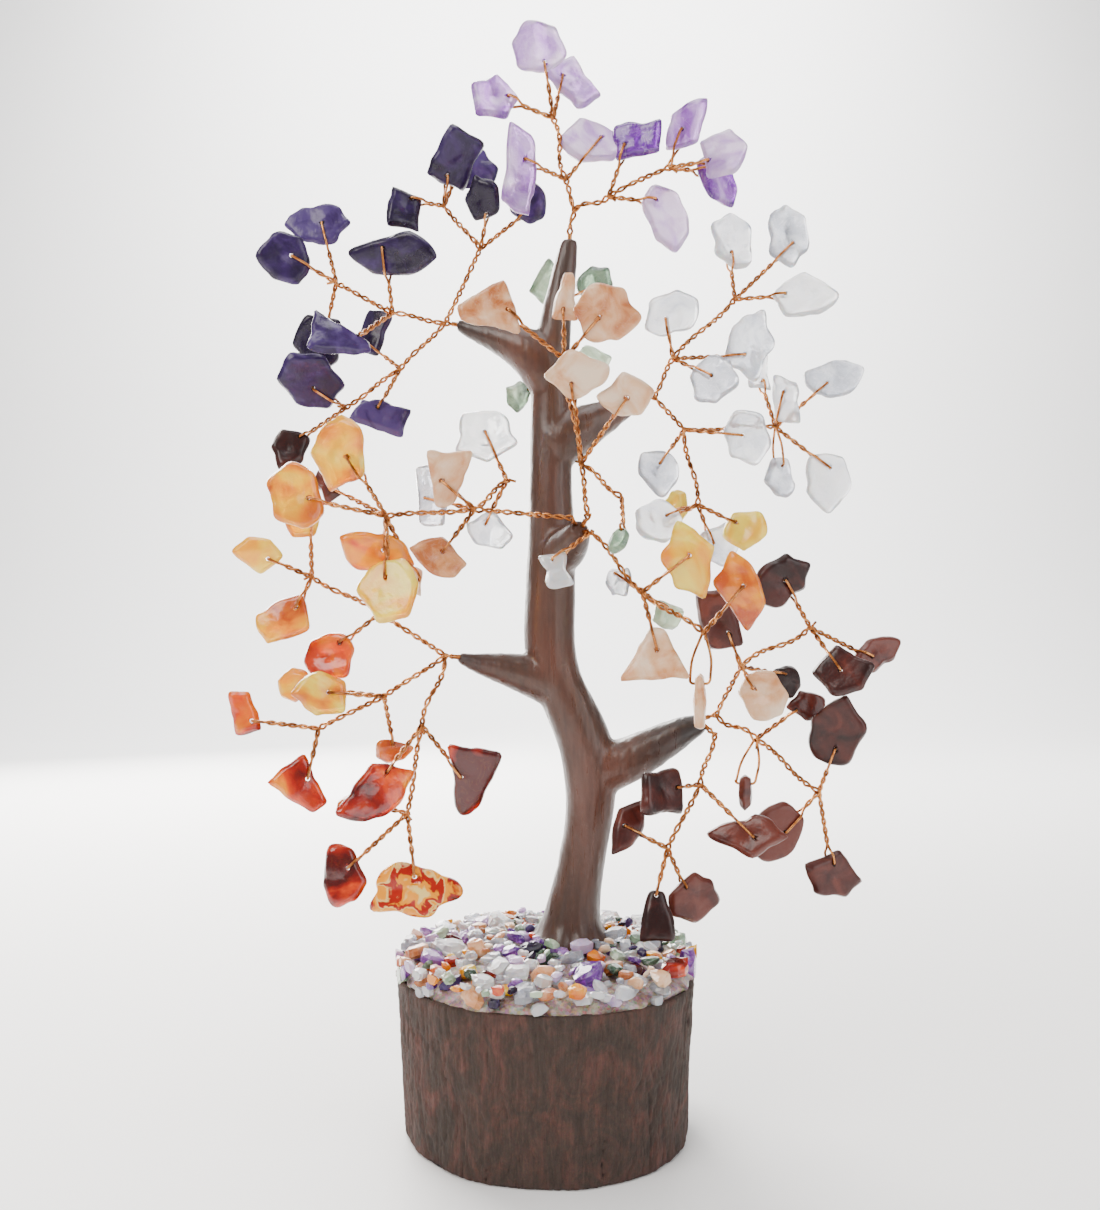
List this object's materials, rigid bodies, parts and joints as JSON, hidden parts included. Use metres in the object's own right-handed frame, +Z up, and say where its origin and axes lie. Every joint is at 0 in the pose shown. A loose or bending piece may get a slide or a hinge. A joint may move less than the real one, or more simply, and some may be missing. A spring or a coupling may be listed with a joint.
{
  "type": "gemstone tree of life",
  "caption": "Tabletop tree: clay trunk on a bark-covered log slice, with twisted copper wire twigs that carry drilled, polished stone chips.",
  "frame": {"origin": "centre of the log slice's underside", "axes": "+Z up along the trunk; the front of the tree faces -Y, with the crossing stem in front of the trunk"},
  "size_m": [0.1555, 0.069, 0.258],
  "materials": {
    "log_wood": "sawn, matt",
    "bark": "rough, cracked, matt",
    "glue_grit": "rough glue and stone grit",
    "clay": "smooth, softly polished",
    "copper": "bright drawn copper wire",
    "quartz": "tumbled and polished, clear",
    "amethyst": "tumbled and polished, translucent",
    "sodalite": "tumbled and polished, opaque",
    "citrine": "tumbled and polished, translucent",
    "carnelian": "tumbled and polished, translucent",
    "peach": "tumbled and polished, milky",
    "aventurine": "tumbled and polished, cloudy",
    "jasper": "tumbled and polished, opaque",
    "agate": "polished, banded"
  },
  "bodies": {
    "tree": {"wood_core": "log_wood", "bark_ring": "bark", "glue_bed": "glue_grit", "clay_trunk": "clay", "wire_bundle": "copper", "gravel_quartz": "quartz", "gravel_amethyst": "amethyst", "gravel_sodalite": "sodalite", "gravel_citrine": "citrine", "gravel_carnelian": "carnelian", "gravel_peach": "peach", "gravel_aventurine": "aventurine"},
    "crown_spray": {"crown_branches": "copper", "crown_loops": "copper", "crown_amethyst": "amethyst"},
    "upper_left_spray": {"upper_left_branches": "copper", "upper_left_loops": "copper", "upper_left_sodalite": "sodalite"},
    "front_left_spray": {"front_left_branches": "copper", "front_left_loops": "copper", "front_left_peach": "peach", "front_left_quartz": "quartz", "front_left_citrine": "citrine", "front_left_jasper": "jasper", "front_left_carnelian": "carnelian"},
    "lower_left_spray": {"lower_left_branches": "copper", "lower_left_loops": "copper", "lower_left_carnelian": "carnelian", "lower_left_citrine": "citrine", "lower_left_agate": "agate"},
    "upper_right_spray": {"upper_right_branches": "copper", "upper_right_loops": "copper", "upper_right_quartz": "quartz", "upper_right_citrine": "citrine"},
    "centre_spray": {"centre_branches": "copper", "centre_loops": "copper", "centre_peach": "peach", "centre_aventurine": "aventurine"},
    "front_right_spray": {"front_right_branches": "copper", "front_right_loops": "copper", "front_right_quartz": "quartz", "front_right_citrine": "citrine", "front_right_peach": "peach", "front_right_aventurine": "aventurine", "front_right_carnelian": "carnelian"},
    "lower_right_spray": {"lower_right_branches": "copper", "lower_right_loops": "copper", "lower_right_jasper": "jasper", "lower_right_peach": "peach"},
    "under_right_spray": {"under_right_branches": "copper", "under_right_loops": "copper", "under_right_jasper": "jasper"},
    "back_spray": {"back_branches": "copper", "back_loops": "copper", "back_aventurine": "aventurine"},
    "quartz_drop": {"quartz_drop": "quartz"},
    "peach_drop": {"peach_drop": "peach"},
    "jasper_drop": {"jasper_drop": "jasper"}
  },
  "joints": [
    {"name": "crown_bend", "type": "hinge", "parent": "tree", "child": "crown_spray", "pos_m": [0.00548, 0.00376, 0.21158], "axis": [-0.9248, 0, 0.3805], "range_deg": [-10, 10]},
    {"name": "upper_left_bend", "type": "hinge", "parent": "tree", "child": "upper_left_spray", "pos_m": [-0.02343, 0.00811, 0.19111], "axis": [-0.4626, 0, -0.8866], "range_deg": [-10, 10]},
    {"name": "front_left_bend", "type": "hinge", "parent": "tree", "child": "front_left_spray", "pos_m": [0.00594, -0.00891, 0.14107], "axis": [-0.0672, 0, -0.9977], "range_deg": [-10, 10]},
    {"name": "lower_left_bend", "type": "hinge", "parent": "tree", "child": "lower_left_spray", "pos_m": [-0.02206, -0.00511, 0.11022], "axis": [0.6976, 0, -0.7165], "range_deg": [-10, 10]},
    {"name": "upper_right_bend", "type": "hinge", "parent": "tree", "child": "upper_right_spray", "pos_m": [0.02472, 0.00784, 0.17287], "axis": [-0.1118, 0, 0.9937], "range_deg": [-10, 10]},
    {"name": "centre_bend", "type": "hinge", "parent": "tree", "child": "centre_spray", "pos_m": [0.00883, -0.00867, 0.14148], "axis": [-0.9981, 0, -0.0622], "range_deg": [-10, 5]},
    {"name": "front_right_bend", "type": "hinge", "parent": "tree", "child": "front_right_spray", "pos_m": [0.00911, -0.00891, 0.13858], "axis": [0.6927, 0, 0.7212], "range_deg": [-10, 10]},
    {"name": "lower_right_bend", "type": "hinge", "parent": "tree", "child": "lower_right_spray", "pos_m": [0.03865, 0.0008, 0.09594], "axis": [0.0014, 0, 1], "range_deg": [-10, 10]},
    {"name": "under_right_bend", "type": "hinge", "parent": "tree", "child": "under_right_spray", "pos_m": [0.03844, -0.00036, 0.09269], "axis": [0.9598, 0, -0.2806], "range_deg": [-10, 10]},
    {"name": "back_bend", "type": "hinge", "parent": "tree", "child": "back_spray", "pos_m": [0.00238, 0.01571, 0.16701], "axis": [-0.9973, 0, 0.0737], "range_deg": [-10, 10]},
    {"name": "quartz_drop_swing", "type": "hinge", "parent": "upper_right_spray", "child": "quartz_drop", "pos_m": [0.05872, 0.01784, 0.15787], "axis": [0.342, -0.9397, 0], "range_deg": [-25, 25]},
    {"name": "peach_drop_swing", "type": "hinge", "parent": "front_right_spray", "child": "peach_drop", "pos_m": [0.03311, -0.02091, 0.10458], "axis": [0.9848, -0.1736, 0], "range_deg": [-25, 25]},
    {"name": "jasper_drop_swing", "type": "hinge", "parent": "lower_right_spray", "child": "jasper_drop", "pos_m": [0.04565, -0.0062, 0.08094], "axis": [0.9659, -0.2588, 0], "range_deg": [-25, 25]}
  ]
}
